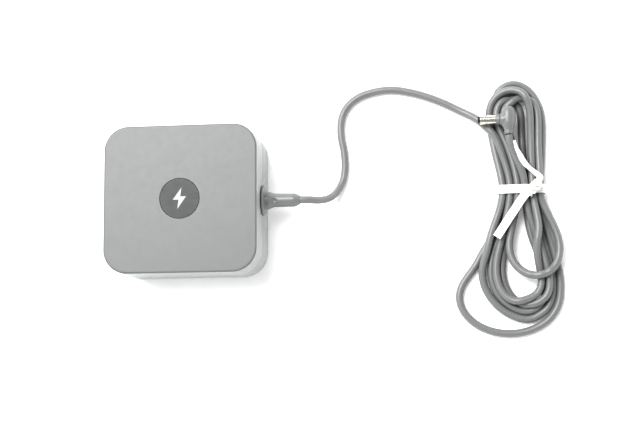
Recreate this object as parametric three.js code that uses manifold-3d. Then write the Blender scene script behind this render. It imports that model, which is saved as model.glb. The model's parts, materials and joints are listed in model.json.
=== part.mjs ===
// Laptop power adapter: a welded two-shell housing around a switching converter, with a mains inlet on
// one side and, on the other, a low-voltage lead that ends in a right-angle barrel plug. The spare lead
// is folded into a hank that a flat twist tie holds. Millimetres, +Z up. The origin is under the middle
// of the housing, on the surface that it stands on, and +X is the side that the lead leaves from.
import * as THREE from 'three';
import { mergeVertices } from 'three/addons/utils/BufferGeometryUtils.js';
import Module from 'manifold-3d';

const wasm = await Module();
wasm.setup();

// ---- Driving dimensions -------------------------------------------------------------------------------
const WIDTH = 66; // housing, along X
const DEPTH = 63; // housing, along Y
const HEIGHT = 28;
const CORNER = 10.5; // plan radius of the housing's corners
const WALL = 2;
const EDGE = 0.8; // rounding where the walls meet the top and the underside
const DRAFT = 0.1; // each shell narrows by this much from the seam to its face
const SEAM_Z = 14;
const LIP = 1.5; // the lower shell's welded tongue stands this far above the seam
const LAP = 1.1; // depth of the step that the two shells' rims lap over each other by
const GAP = 0.3; // clearance between neighbouring pieces

const EMBLEM_R = 8.5;
const EMBLEM_T = 0.6;
const LABEL = { w: 46, d: 34, t: 0.4, r: 2 };

const INLET = { w: 19, h: 11.5, length: 16, collar: 1.2, mouthW: 15.6, mouthH: 8, mouthDeep: 12.5 };
const INLET_PIN = { r: 1.2, pitch: 8.6, recess: 3 };

const RELIEF = { disc: 6.5, head: 3.8, stem: 2.9, length: 16, neck: 4 };
const CORD_R = 1.6;

const PCB = { w: 57, d: 52, t: 1.6, z: 5 };
const PCB_TOP = PCB.z + PCB.t;
const PART_Z = PCB_TOP + GAP; // where the parts on the board start
const POST = { r: 2, x: 26, y: 23 }; // the four posts under the board
const SPREADER = { w: 57, d: 55, t: 0.8, z: 24.9, flap: 13, flapW: 41 };
const CHOKE = { w: 14, d: 12, leg: 3, z: PART_Z + 4, wound: 3.2 };
const CORE = { w: 22, d: 17, h: 12.5, arm: 2.4, leg: 2.6, post: 3.4 };
const BULK = { r: 7.6, length: 25 };
const HEATSINK = { t: 1.5, w: 13, h: 15.5 };
const SWITCH = { t: 4.2, w: 9.5, h: 13 };
const WIRE_R = 0.7;

// Where the middle of each part on the board is, in plan.
const PLACES = {
  fuse: [-14.5, -14.8],
  thermistor: [-25, -15.6],
  xCapacitor: [-16, -21.5],
  choke: [-20.5, 18.2],
  bridge: [-6.6, -18.8],
  bulk: [1.3, 17.4],
  transformer: [2.5, -1],
  primaryHeatsink: [0.4, -18.8],
  primarySwitch: [3.7, -18.8],
  outputHeatsink: [16.4, -8],
  outputRectifier: [19.7, -8],
  outputCapacitors: [[18.8, 20], [18.8, 10.6]],
  yCapacitor: [10.6, -19],
  optocoupler: [16.6, -20],
  chip: [24, -19.5],
};

const HANK = { z: 1, t: 5.4 };
const TIE = { y: 3.2, w: 3.7, t: 0.6, x0: 132.2, x1: 152.8, edge: 3.2, rib: 0.8, knot: [148.6, 4.6] };
const PLUG = { x: 137.7, y: 33.4, z: 9.9, r: 3.2, barrelY: 32.7, tipX: 124.9, endX: 132.4 };

// The lead's centre line from the strain relief to the hank: out of the housing, down to the surface
// that the adapter stands on, then along it.
const LEAD = [
  [49.4, 0, 14], [53, 0, 13.4], [57, 0.1, 10.6], [60.6, 1.4, 6.6], [63.8, 4.6, 3.4], [66.2, 9.6, 1.9],
  [67.1, 15, 1.65], [66.8, 22, 1.65], [65.5, 29.5, 1.65], [65.9, 37], [69, 42.8], [74, 46.4], [80.6, 48.4],
  [87.6, 49], [94.5, 47.9], [101.5, 45.9], [109, 42.9], [116.3, 39.1], [122, 35.7], [127, 32],
];

// The hank's outer shape in plan: a narrow head, a waist at the tie and a wide foot.
const HANK_OUTLINE = [
  [132.9, 3], [131.2, 14], [129.2, 30], [129.4, 41], [134.5, 49.4], [142.5, 51], [150, 47.5], [153.4, 36],
  [153.2, 20], [152.1, 3], [154.9, -7], [158.9, -20], [159.5, -38], [156, -50.5], [146.5, -58], [133, -58.6],
  [120.5, -54], [113.8, -42], [118, -31], [124.5, -20], [129.6, -9],
];

// The tie's two tails in plan, from the knot. The first stands on its edge and the second lies flat.
const EDGE_TAIL = [[149, 5.6], [146, 10.8], [142.2, 16.6], [139.6, 22.8]];
const FLAT_TAIL = [[148.8, 4.6], [143.6, -0.6], [131.9, -17]];

// ---- Materials ----------------------------------------------------------------------------------------
function material(color, roughness = 0.5, metalness = 0) {
  return new THREE.MeshStandardMaterial({ color, roughness, metalness });
}

const GREY_PLASTIC = material(0xa9adab, 0.42);
const DARK_PLASTIC = material(0x757a79, 0.5);
const BLACK_PLASTIC = material(0x1d1e20, 0.45);
const WHITE_PLASTIC = material(0xeeeeea, 0.4);
const GREY_RUBBER = material(0x8d9190, 0.55);
const LABEL_FILM = material(0x9a9d9d, 0.5);
const NICKEL = material(0xc9c4b4, 0.25, 1);
const COPPER = material(0xb4652c, 0.35, 1);
const ALUMINIUM = material(0xb9bcc0, 0.4, 1);
const BOARD = material(0x2c5a35, 0.5);
const FERRITE = material(0x35373a, 0.7);
const FISH_PAPER = material(0x8c8f84, 0.8);
const TAPE = material(0xd8b52c, 0.4);
const EPOXY_BLUE = material(0x2c4f8f, 0.35);
const EPOXY_GREEN = material(0x3f6b4a, 0.4);
const CERAMIC = material(0xe4dfd2, 0.5);
const RED_WIRE = material(0xa02a25, 0.5);

// ---- Shape helpers ------------------------------------------------------------------------------------
const adapter = new THREE.Group();

function add(name, geometry, surface) {
  const mesh = new THREE.Mesh(geometry, surface);
  mesh.name = name;
  adapter.add(mesh);
  return mesh;
}

// A closed geometry as a solid for joining and cutting.
function solid(geometry) {
  const bare = geometry.clone();
  bare.deleteAttribute('normal');
  bare.deleteAttribute('uv');
  const merged = mergeVertices(bare, 1e-4);
  return new wasm.Manifold(new wasm.Mesh({
    numProp: 3,
    vertProperties: new Float32Array(merged.attributes.position.array),
    triVerts: new Uint32Array(merged.index.array),
  }));
}

function geometryOf(manifold) {
  const mesh = manifold.getMesh();
  const geometry = new THREE.BufferGeometry();
  geometry.setAttribute('position', new THREE.BufferAttribute(mesh.vertProperties, 3));
  geometry.setIndex(new THREE.BufferAttribute(mesh.triVerts, 1));
  geometry.computeVertexNormals();
  return geometry;
}

function join(first, ...others) {
  return geometryOf(others.reduce((whole, other) => whole.add(solid(other)), solid(first)));
}

function cut(first, ...others) {
  return geometryOf(others.reduce((whole, other) => whole.subtract(solid(other)), solid(first)));
}

function box(w, d, h, x, y, z) {
  return new THREE.BoxGeometry(w, d, h).translate(x, y, z + h / 2);
}

// A rectangle with round corners as a list of points, the same number for every size.
function roundRing(w, d, r, steps = 8) {
  const ring = [];
  for (const [sx, sy, start] of [[1, 1, 0], [-1, 1, 1], [-1, -1, 2], [1, -1, 3]]) {
    for (let i = 0; i <= steps; i++) {
      const a = (start + i / steps) * Math.PI / 2;
      ring.push(new THREE.Vector2(sx * (w / 2 - r) + r * Math.cos(a), sy * (d / 2 - r) + r * Math.sin(a)));
    }
  }
  return ring;
}

function roundRect(w, d, r, steps = 4) {
  return new THREE.Shape(roundRing(w, d, r, steps));
}

function extrude(shape, depth, curveSegments = 10) {
  return new THREE.ExtrudeGeometry(shape, { depth, bevelEnabled: false, curveSegments });
}

// A flat piece that lies level, from height z.
function plate(shape, z, t) {
  return extrude(shape, t).translate(0, 0, z);
}

// Turns a shape drawn in X, Y and extruded along Z into one drawn in Y, Z and extruded along X.
const ALONG_X = new THREE.Matrix4().makeBasis(
  new THREE.Vector3(0, 1, 0), new THREE.Vector3(0, 0, 1), new THREE.Vector3(1, 0, 0));

function extrudeX(shape, x, length) {
  return extrude(shape, length).applyMatrix4(ALONG_X).translate(x, 0, 0);
}

// A turned piece about an axis through the origin: the profile is [radius, place along the axis].
function turned(profile, segments = 20) {
  return new THREE.LatheGeometry(profile.map(([r, y]) => new THREE.Vector2(r, y)), segments);
}

function turnedX(profile, segments) {
  return turned(profile, segments).rotateZ(-Math.PI / 2);
}

function cylinder(r, h, x, y, z, segments = 16) {
  return new THREE.CylinderGeometry(r, r, h, segments).rotateX(Math.PI / 2).translate(x, y, z + h / 2);
}

// A round wire of one thickness along a smooth line through the points.
function wire(points, r, steps, sides = 8) {
  const curve = new THREE.CatmullRomCurve3(points.map(([x, y, z = r]) => new THREE.Vector3(x, y, z)));
  const section = new THREE.Shape();
  section.absarc(0, 0, r, 0, Math.PI * 2);
  return new THREE.ExtrudeGeometry(section, { extrudePath: curve, steps, curveSegments: sides / 2 });
}

// ---- Housing ------------------------------------------------------------------------------------------
// A shell whose wall follows the housing's rounded rectangle. The profile is a list of [inset, z] from
// the middle of the outer face, over the rim, to the middle of the inner face.
function shell(profile) {
  const steps = 8;
  const position = [];
  const index = [];
  const count = 4 * (steps + 1);
  for (const [inset, z] of profile) {
    const r = Math.max(CORNER - inset, 0.5);
    for (const p of roundRing(WIDTH - 2 * inset, DEPTH - 2 * inset, r, steps)) position.push(p.x, p.y, z);
  }
  for (let row = 0; row + 1 < profile.length; row++) {
    for (let i = 0; i < count; i++) {
      const a = row * count + i;
      const b = row * count + (i + 1) % count;
      index.push(a, b, b + count, a, b + count, a + count);
    }
  }
  const last = (profile.length - 1) * count;
  const first = position.length / 3;
  position.push(0, 0, profile[0][1], 0, 0, profile.at(-1)[1]);
  for (let i = 0; i < count; i++) {
    const next = (i + 1) % count;
    index.push(first, next, i, first + 1, last + i, last + next);
  }
  const geometry = new THREE.BufferGeometry();
  geometry.setAttribute('position', new THREE.Float32BufferAttribute(position, 3));
  geometry.setIndex(index);
  return geometry;
}

// The rounded edge between a face at height 0 and a wall, as [inset, height] pairs.
function roundedEdge(inset, steps = 4) {
  const points = [];
  for (let i = 0; i <= steps; i++) {
    const a = i / steps * Math.PI / 2;
    points.push([inset + EDGE * (1 - Math.sin(a)), EDGE * (1 - Math.cos(a))]);
  }
  return points;
}

function inletOpening() {
  const clear = 2 * GAP;
  return extrudeX(roundRect(INLET.w + clear, INLET.h + clear, 1.5), -WIDTH / 2 - 2, 6)
    .translate(0, 0, SEAM_Z);
}

function reliefOpening() {
  return turnedX([[0, 0], [RELIEF.neck + GAP, 0], [RELIEF.neck + GAP, 6], [0, 6]], 20)
    .translate(WIDTH / 2 - 4, 0, SEAM_Z);
}

function boardPosts() {
  const sunk = 0.5;
  const height = PCB.z - GAP - WALL + sunk;
  const posts = [];
  for (const x of [-POST.x, POST.x]) {
    for (const y of [-POST.y, POST.y]) posts.push(cylinder(POST.r, height, x, y, WALL - sunk, 12));
  }
  return posts;
}

function bottomHousing() {
  const profile = [
    ...roundedEdge(DRAFT), [0, SEAM_Z - GAP / 2], [LAP, SEAM_Z - GAP / 2], [LAP, SEAM_Z + LIP],
    [WALL, SEAM_Z + LIP], [WALL + DRAFT, WALL],
  ];
  const recess = plate(roundRect(LABEL.w + 2 * GAP, LABEL.d + 2 * GAP, LABEL.r + GAP), -1, 1 + LABEL.t + GAP);
  const whole = join(shell(profile), ...boardPosts());
  add('bottom_housing', cut(whole, recess, inletOpening(), reliefOpening()), GREY_PLASTIC);
}

function topCover() {
  const upper = roundedEdge(DRAFT).map(([inset, z]) => [inset, HEIGHT - z]);
  const profile = [
    [WALL + DRAFT, HEIGHT - WALL], [WALL, SEAM_Z + LIP + GAP], [LAP - GAP, SEAM_Z + LIP + GAP],
    [LAP - GAP, SEAM_Z + GAP / 2], [0, SEAM_Z + GAP / 2], ...upper.reverse(),
  ];
  const recess = cylinder(EMBLEM_R + 0.2, 2, 0, 0, HEIGHT - EMBLEM_T - GAP, 48);
  add('top_cover', cut(shell(profile), recess, inletOpening(), reliefOpening()), GREY_PLASTIC);
}

function emblemDisc() {
  add('emblem_disc', cylinder(EMBLEM_R, EMBLEM_T, 0, 0, HEIGHT - EMBLEM_T, 48), DARK_PLASTIC);
}

function ratingLabel() {
  add('rating_label', plate(roundRect(LABEL.w, LABEL.d, LABEL.r), 0.05, LABEL.t - 0.05), LABEL_FILM);
}

// ---- Mains inlet --------------------------------------------------------------------------------------
function inletMouth() {
  const { mouthW: w, mouthH: h } = INLET;
  const notch = 1.3;
  const shape = new THREE.Shape();
  shape.absarc(w / 2 - h / 2, 0, h / 2, -Math.PI / 2, Math.PI / 2);
  shape.lineTo(notch, h / 2);
  shape.lineTo(0, h / 2 - notch);
  shape.lineTo(-notch, h / 2);
  shape.absarc(h / 2 - w / 2, 0, h / 2, Math.PI / 2, Math.PI * 1.5);
  shape.lineTo(-notch, -h / 2);
  shape.lineTo(0, notch - h / 2);
  shape.lineTo(notch, -h / 2);
  return shape;
}

function mainsInlet() {
  const x = -WIDTH / 2;
  const { w, h, length, collar } = INLET;
  const body = extrudeX(roundRect(w, h, 1.2), x, length);
  const rib = extrudeX(roundRect(w + 2 * collar, h + 2 * collar, 1.5), x + WALL + DRAFT + GAP, 1.5);
  const mouth = extrudeX(inletMouth(), x - 1, INLET.mouthDeep + 1);
  const holes = [-1, 1].map((side) => pinSlug(side, INLET_PIN.r + 0.1));
  const inlet = cut(join(body, rib), mouth, ...holes);
  add('ac_inlet_housing', inlet.translate(0, 0, SEAM_Z), BLACK_PLASTIC);
  for (const [name, side] of [['inlet_pin_line', 1], ['inlet_pin_neutral', -1]]) {
    add(name, pinSlug(side, INLET_PIN.r).translate(0, 0, SEAM_Z), NICKEL);
  }
}

// A round contact pin from behind the mouth to a solder tail that stands out of the inlet's back.
function pinSlug(side, r) {
  const { length } = INLET;
  const tip = INLET_PIN.recess;
  const profile = [[0, tip], [r * 0.6, tip], [r, tip + 0.8], [r, length + 1.5], [0, length + 1.5]];
  return turnedX(profile, 12).translate(-WIDTH / 2, side * INLET_PIN.pitch / 2, 0);
}

// ---- Strain relief ------------------------------------------------------------------------------------
function strainRelief() {
  const { disc, head, stem, length, neck } = RELIEF;
  const profile = [
    [0, -4.6], [disc - 1, -4.6], [disc - 1, -3.2], [neck, -3.2], [neck, 0.1], [disc, 0.1], [disc, 0.7],
    [disc - 0.5, 1.1], [head, 1.2], [head, 2.8], [stem + 0.2, 4.4], [stem, 5], [stem, length - 1.2],
    [stem - 0.35, length - 0.5], [stem - 1.1, length], [0, length],
  ];
  const dimple = new THREE.SphereGeometry(1.1, 12, 8).translate(5, 0, stem + 0.5);
  const relief = cut(turnedX(profile, 24), dimple);
  add('dc_strain_relief', relief.translate(WIDTH / 2, 0, SEAM_Z), GREY_RUBBER);
}

// ---- Inside: board, shields and insulation ------------------------------------------------------------
function boardAndShields() {
  add('insulation_sheet', plate(roundRect(46, 54, 2), WALL + GAP, 0.4), FISH_PAPER);
  add('circuit_board', plate(roundRect(PCB.w, PCB.d, 3), PCB.z, PCB.t), BOARD);
  const { w, d, t, z, flap, flapW } = SPREADER;
  const flaps = [-1, 1].map((side) => box(flapW, t, flap, 0, side * (d - t) / 2, z + t - flap));
  add('heat_spreader', join(plate(roundRect(w, d, 6), z, t), ...flaps), ALUMINIUM);
}

// A block that stands on the board.
function block(name, place, size, surface) {
  add(name, box(...size, ...place, PART_Z), surface);
}

// A dipped disc that stands on edge, held above the board by its leads.
function dippedDisc(name, place, r, t, surface) {
  const rim = 0.5;
  const profile = [[0, -t], [r - rim, -t], [r, -t / 2], [r, t / 2], [r - rim, t], [0, t]];
  add(name, turnedX(profile, 18).translate(...place, PART_Z + r + 0.1), surface);
}

// ---- Inside: mains side -------------------------------------------------------------------------------
function fuse() {
  const r = 1.9;
  const half = 4;
  const tube = turnedX([[0, -half], [r, -half], [r, half], [0, half]], 14);
  add('fuse', tube.translate(...PLACES.fuse, PART_Z + r + 0.1), CERAMIC);
}

function mainsFilter() {
  block('x_capacitor', PLACES.xCapacitor, [13, 6, 11.5], TAPE);
  const { w, d, leg, z, wound } = CHOKE;
  const [x, y] = PLACES.choke;
  const core = roundRect(w, d, 1);
  core.holes.push(new THREE.Path(roundRing(w - 2 * leg, d - 2 * leg, 0.5, 2).reverse()));
  add('choke_core', plate(core, z, leg).translate(x, y, 0), FERRITE);
  const length = d - 2 * leg - 0.8;
  for (const [name, side] of [['choke_winding_line', 1], ['choke_winding_neutral', -1]]) {
    const coil = roundRect(leg + wound, leg + wound, 1.6);
    coil.holes.push(new THREE.Path(roundRing(leg + 0.6, leg + 0.6, 0.2, 1).reverse()));
    const turns = extrude(coil, length).rotateX(Math.PI / 2);
    add(name, turns.translate(x + side * (w - leg) / 2, y + length / 2, z + leg / 2), COPPER);
  }
}

function bulkCapacitor() {
  const { r, length } = BULK;
  const can = [[0, 0], [r - 0.8, 0], [r, 0.8], [r, 2.2], [r - 0.5, 2.8], [r, 3.4], [r, length], [0, length]];
  const [x, y] = PLACES.bulk;
  add('bulk_capacitor', turnedX(can, 24).translate(x - length / 2, y, PART_Z + r), BLACK_PLASTIC);
}

// ---- Inside: transformer, switches and output ---------------------------------------------------------
function transformer() {
  const { w, d, h, arm, leg, post } = CORE;
  const arms = [0, h - arm].map((z) => box(w, d, arm, 0, 0, z));
  const legs = [-1, 1].map((side) => box(leg, d, h, side * (w - leg) / 2, 0, 0));
  const core = join(...arms, ...legs, cylinder(post, h, 0, 0, 0, 16));
  add('transformer_core', core.translate(...PLACES.transformer, PART_Z), FERRITE);
  const hole = post + 0.4;
  const flange = 7.8;
  const tube = 4.6;
  const length = 6.9;
  const rim = 0.8;
  const bobbin = turned([
    [hole, 0], [flange, 0], [flange, rim], [tube, rim], [tube, length - rim], [flange, length - rim],
    [flange, length], [hole, length], [hole, 0],
  ], 24).rotateX(Math.PI / 2);
  const z = PART_Z + (h - length) / 2;
  add('transformer_bobbin', bobbin.translate(...PLACES.transformer, z), BLACK_PLASTIC);
  const inner = tube + GAP;
  const outer = flange - 0.2;
  const wound = length - 2 * (rim + GAP);
  const ring = [[inner, 0], [outer, 0], [outer, wound], [inner, wound], [inner, 0]];
  const copper = turned(ring, 24).rotateX(Math.PI / 2);
  add('transformer_winding', copper.translate(...PLACES.transformer, z + rim + GAP), COPPER);
}

function powerSwitches() {
  const sink = [HEATSINK.t, HEATSINK.w, HEATSINK.h];
  const body = [SWITCH.t, SWITCH.w, SWITCH.h];
  block('primary_heatsink', PLACES.primaryHeatsink, sink, ALUMINIUM);
  block('primary_switch', PLACES.primarySwitch, body, BLACK_PLASTIC);
  block('output_heatsink', PLACES.outputHeatsink, sink, ALUMINIUM);
  block('output_rectifier', PLACES.outputRectifier, body, BLACK_PLASTIC);
}

function outputFilter() {
  const can = [[0, 0], [4, 0], [4, 11.4], [3.7, 12], [3.3, 12.2], [0, 12.2]];
  PLACES.outputCapacitors.forEach((place, i) => {
    const upright = turned(can, 18).rotateX(Math.PI / 2);
    add(`output_capacitor_${i + 1}`, upright.translate(...place, PART_Z), EPOXY_BLUE);
  });
}

// Each wire ends just above the board.
function innerWires() {
  const end = PART_Z + 0.1;
  const tail = INLET.length + 1.5 - WIDTH / 2;
  for (const [name, side, surface] of [['inlet_wire_line', 1, BLACK_PLASTIC],
    ['inlet_wire_neutral', -1, WHITE_PLASTIC]]) {
    const y = side * INLET_PIN.pitch / 2;
    const bend = y + side * 2.6;
    const route = [[tail + 0.4, y, SEAM_Z], [tail + 2, y, SEAM_Z - 0.5], [tail + 2.6, bend, 11],
      [tail + 2.4, bend, end]];
    add(name, wire(route, WIRE_R, 14), surface);
  }
  for (const [name, side, surface] of [['output_wire_positive', 1, RED_WIRE],
    ['output_wire_negative', -1, BLACK_PLASTIC]]) {
    const y = side * 1.6;
    const route = [[WIDTH / 2 - 5, y, SEAM_Z], [26.6, y, SEAM_Z - 0.8], [25.2, y + side * 0.4, 11],
      [25, y + side * 0.6, end]];
    add(name, wire(route, WIRE_R, 14), surface);
  }
}

// ---- Lead, hank, tie and plug -------------------------------------------------------------------------
function leadAndHank() {
  add('dc_lead', wire(LEAD.map(([x, y, z = 1.65]) => [x, y, z]), CORD_R, 64), GREY_RUBBER);
  const outline = new THREE.SplineCurve([...HANK_OUTLINE, HANK_OUTLINE[0]].map(([x, y]) =>
    new THREE.Vector2(x, y)));
  const shape = new THREE.Shape(outline.getPoints(72).slice(0, -1));
  add('dc_lead_hank', plate(shape, HANK.z, HANK.t), GREY_RUBBER);
}

// A flat strip of the tie in plan: the centre line, widened to each side.
function strip(points, w, z, t) {
  const line = new THREE.SplineCurve(points.map(([x, y]) => new THREE.Vector2(x, y)));
  const steps = 10;
  const left = [];
  const right = [];
  for (let i = 0; i <= steps; i++) {
    const p = line.getPoint(i / steps);
    const across = line.getTangent(i / steps).rotateAround(new THREE.Vector2(), Math.PI / 2);
    left.push(p.clone().addScaledVector(across, w / 2));
    right.unshift(p.clone().addScaledVector(across, -w / 2));
  }
  return plate(new THREE.Shape([...left, ...right]), z, t);
}

function twistTie() {
  const { y, w, t, x0, x1, edge, rib } = TIE;
  const z0 = HANK.z - GAP;
  const z1 = HANK.z + HANK.t + GAP;
  const middle = (x0 + x1) / 2;
  const outer = box(x1 - x0 + 2 * t, w, z1 - z0 + 2 * t, middle, y, z0 - t);
  const inner = box(x1 - x0, w + 2, z1 - z0, middle, y, z0);
  const band = cut(outer, inner);
  const twist = turned([[0, -3.4], [1.6, -3], [1.9, 0], [1.6, 3], [0, 3.4]], 12);
  const knot = twist.rotateZ(-0.5).translate(...TIE.knot, z1 + t + 1);
  const edgeTail = strip(EDGE_TAIL, rib, z1 + t, edge);
  const flatTail = strip(FLAT_TAIL, w, z1 + t - 0.1, t);
  add('hank_tie', join(band, knot, edgeTail, flatTail), WHITE_PLASTIC);
}

function barrelPlug() {
  const { x, y, z, r, barrelY, tipX, endX } = PLUG;
  const grip = turned([
    [0, -7.2], [1.7, -7.2], [1.9, -6.8], [1.95, -5.2], [2.4, -4.4], [r - 0.15, -2.6], [r, 0],
    [r - 0.15, 2.6], [2.3, 4.3], [1.2, 4.9], [0, 5],
  ], 24).translate(x, y, z);
  const collar = [[0, 0], [2.05, 0], [2.35, 1.6], [0, 1.6]];
  add('plug_collar', turnedX(collar, 20).translate(endX + 0.2, barrelY, z), GREY_RUBBER);
  const neck = [[0, 0], [2.45, 0], [2.9, 1.5], [2.9, 3], [0, 3]];
  const boss = turnedX(neck, 20).translate(endX + 2, barrelY, z);
  add('plug_body', join(grip, boss), GREY_RUBBER);
  const length = endX - tipX;
  const sleeve = [
    [1.55, 0], [2, 0], [2, 3], [1.85, 3.2], [1.85, 3.6], [2, 3.8], [2, length], [1.55, length], [1.55, 0],
  ];
  add('plug_sleeve', turnedX(sleeve, 24).translate(tipX, barrelY, z), NICKEL);
  const back = length - 0.6;
  const liner = [[0.95, 0.3], [1.35, 0.3], [1.35, back], [0.95, back], [0.95, 0.3]];
  add('plug_liner', turnedX(liner, 20).translate(tipX, barrelY, z), BLACK_PLASTIC);
  const pin = [[0, 1], [0.35, 1.2], [0.5, 1.6], [0.5, back], [0, back]];
  add('plug_pin', turnedX(pin, 12).translate(tipX, barrelY, z), NICKEL);
}

bottomHousing();
topCover();
emblemDisc();
ratingLabel();
mainsInlet();
strainRelief();
boardAndShields();
fuse();
dippedDisc('thermistor', PLACES.thermistor, 4.2, 1.6, EPOXY_GREEN);
mainsFilter();
block('bridge_rectifier', PLACES.bridge, [3.4, 13.5, 10.5], BLACK_PLASTIC);
bulkCapacitor();
transformer();
powerSwitches();
outputFilter();
dippedDisc('y_capacitor', PLACES.yCapacitor, 3.8, 1.5, EPOXY_BLUE);
block('optocoupler', PLACES.optocoupler, [4.6, 6.4, 3.4], WHITE_PLASTIC);
block('controller_chip', PLACES.chip, [5, 4, 1.6], BLACK_PLASTIC);
innerWires();
leadAndHank();
twistTie();
barrelPlug();

export default adapter;
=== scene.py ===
"""Looks of the laptop power adapter: detailed shells, inlet, strain relief, one continuous lead with its
tied hank, and the barrel plug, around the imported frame. Lengths are in millimetres, except those of the
camera, the studio and the frame's calls, which are in metres."""
import json
import math

import bmesh
import bpy
import numpy as np
from mathutils import Matrix, Vector


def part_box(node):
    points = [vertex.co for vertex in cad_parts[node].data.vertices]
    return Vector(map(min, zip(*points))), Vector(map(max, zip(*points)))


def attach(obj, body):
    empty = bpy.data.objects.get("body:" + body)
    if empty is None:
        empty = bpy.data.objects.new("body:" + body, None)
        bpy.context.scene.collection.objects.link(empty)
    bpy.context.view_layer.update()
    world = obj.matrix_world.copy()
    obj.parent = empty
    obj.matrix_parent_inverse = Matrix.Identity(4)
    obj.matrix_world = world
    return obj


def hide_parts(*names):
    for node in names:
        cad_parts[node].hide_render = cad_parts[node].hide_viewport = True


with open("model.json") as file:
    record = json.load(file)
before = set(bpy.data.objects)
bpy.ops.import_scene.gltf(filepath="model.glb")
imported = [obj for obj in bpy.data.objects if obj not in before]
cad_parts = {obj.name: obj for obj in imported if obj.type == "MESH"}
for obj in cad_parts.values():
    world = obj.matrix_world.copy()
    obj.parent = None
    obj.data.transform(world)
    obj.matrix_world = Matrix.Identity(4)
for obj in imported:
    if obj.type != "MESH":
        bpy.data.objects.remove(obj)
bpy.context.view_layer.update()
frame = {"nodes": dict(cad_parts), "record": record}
MM = 0.001

# ---- Driving dimensions --------------------------------------------------------------------------------
# The housing and what is fixed to it. LAP and LIP are the depth and the height of the step where the shells
# overlap, SEAM_GAP is the line that shows between them, and HOLD is the narrow flat ring beside an edge.
HOUSING_LOW, HOUSING_HIGH = (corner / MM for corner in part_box("bottom_housing"))
WIDTH = HOUSING_HIGH.x - HOUSING_LOW.x
DEPTH = HOUSING_HIGH.y - HOUSING_LOW.y
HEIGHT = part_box("top_cover")[1].z / MM
SEAM_Z = HEIGHT / 2
CORNER = 10.5
WALL = 2.0
EDGE = 0.8
DRAFT = 0.1
LAP = 1.1
LIP = 1.5
GAP = 0.3
SEAM_GAP = 0.14
HOLD = 0.08
EMBLEM_R = 8.5
EMBLEM_CLEAR = 0.12
EMBLEM_POCKET = 0.9
BOLT = [(0.9, 4.6), (-2.9, -0.6), (-0.4, -0.6), (-0.9, -4.6), (2.9, 0.8), (0.4, 0.8)]
LABEL = (46.0, 34.0, 2.0)
INLET_SIZE = (19.0, 11.5)
INLET_FLANGE = 2.4
MOUTH_R, MOUTH_LOBE, MOUTH_NOTCH = 4.0, 3.8, 1.3
PIN_R, PIN_Y = 1.2, 4.3
PIN_TIP, PIN_END = 3.0, 17.5
RELIEF_R = 4.0
CORD_R = 1.6

# The camera and the studio, in metres, with the roll in degrees.
CAMERA_AT = (0.1281, -0.0760, 0.5557)
CAMERA_AIM = (0.0558, -0.0043, 0.0)
CAMERA_ROLL = 0.457
CAMERA_LENS = 73.1
KEY_AT = (-0.31, 0.4, 1.0)
KEY_AIM = (0.05, 0.0, 0.0)
KEY_SIZE = (0.7, 0.7)
KEY_POWER = 18.0
FLOOR_HALF = 3.0
HORIZON = 3.0
SKY = 0.6
FLOOR_GLOW = 0.2
VIEW_GAMMA = 0.7

# The lead's centre line from the strain relief to the hank.
LEAD = [
    (49.4, 0, 14), (53, 0, 13.4), (57, 0.1, 10.6), (60.6, 1.4, 6.6), (63.8, 4.6, 3.4), (66.2, 9.6, 1.9),
    (67.1, 15, 1.65), (66.8, 22, 1.65), (65.5, 29.5, 1.65), (65.9, 37, 1.65), (69, 42.8, 1.65),
    (74, 46.4, 1.65), (80.6, 48.4, 1.65), (87.6, 49, 1.65), (94.5, 47.9, 1.65), (101.5, 45.9, 1.65),
    (109, 42.9, 1.65), (116.3, 39.1, 1.8), (121.5, 36.2, 2.9), (126, 33, 5),
]
TIE_Y = 3.2
TIE_WIDTH = 3.7
# The plug lies on the hank with its grip along Y and its barrel along X.
PLUG_AT = (137.7, 33.4, 9.9)
PLUG_BARREL_Y = 32.7
PLUG_TIP_X = 124.9
GRIP_R, GRIP_UP, GRIP_DOWN = 3.2, 5.0, 7.2
BARREL_R = 2.0
BARREL_END_X = 132.4
BOSS_X = 134.2
PLUG_CORD_Y = 26.2

# ---- Camera --------------------------------------------------------------------------------------------


def make_camera():
    data = bpy.data.cameras.new("camera")
    data.lens = CAMERA_LENS
    data.sensor_width = 36
    data.clip_start = 0.01
    camera = bpy.data.objects.new("camera", data)
    bpy.context.scene.collection.objects.link(camera)
    ahead = (Vector(CAMERA_AIM) - Vector(CAMERA_AT)).normalized()
    roll = math.radians(CAMERA_ROLL)
    up = Vector((math.sin(roll), math.cos(roll), 0))
    up = (up - ahead * up.dot(ahead)).normalized()
    right = ahead.cross(up)
    turn = Matrix((right, up, -ahead)).transposed()
    camera.matrix_world = Matrix.Translation(CAMERA_AT) @ turn.to_4x4()
    bpy.context.scene.camera = camera


make_camera()

# ---- Mesh helpers --------------------------------------------------------------------------------------


def new_object(name, vertices, faces, sharp=30):
    """A mesh object from points in millimetres, smooth except where faces meet at more than sharp degrees."""
    mesh = bpy.data.meshes.new(name)
    mesh.from_pydata([tuple(float(c) * MM for c in v) for v in vertices], [], [list(f) for f in faces])
    bm = bmesh.new()
    bm.from_mesh(mesh)
    bmesh.ops.remove_doubles(bm, verts=bm.verts, dist=1e-7)
    bmesh.ops.recalc_face_normals(bm, faces=bm.faces)
    bm.to_mesh(mesh)
    bm.free()
    mesh.shade_smooth()
    mesh.set_sharp_from_angle(angle=math.radians(sharp))
    obj = bpy.data.objects.new(name, mesh)
    bpy.context.scene.collection.objects.link(obj)
    return obj


def apply_modifiers(obj, sharp=30):
    graph = bpy.context.evaluated_depsgraph_get()
    mesh = bpy.data.meshes.new_from_object(obj.evaluated_get(graph))
    obj.modifiers.clear()
    obj.data = mesh
    mesh.shade_smooth()
    mesh.set_sharp_from_angle(angle=math.radians(sharp))


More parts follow.
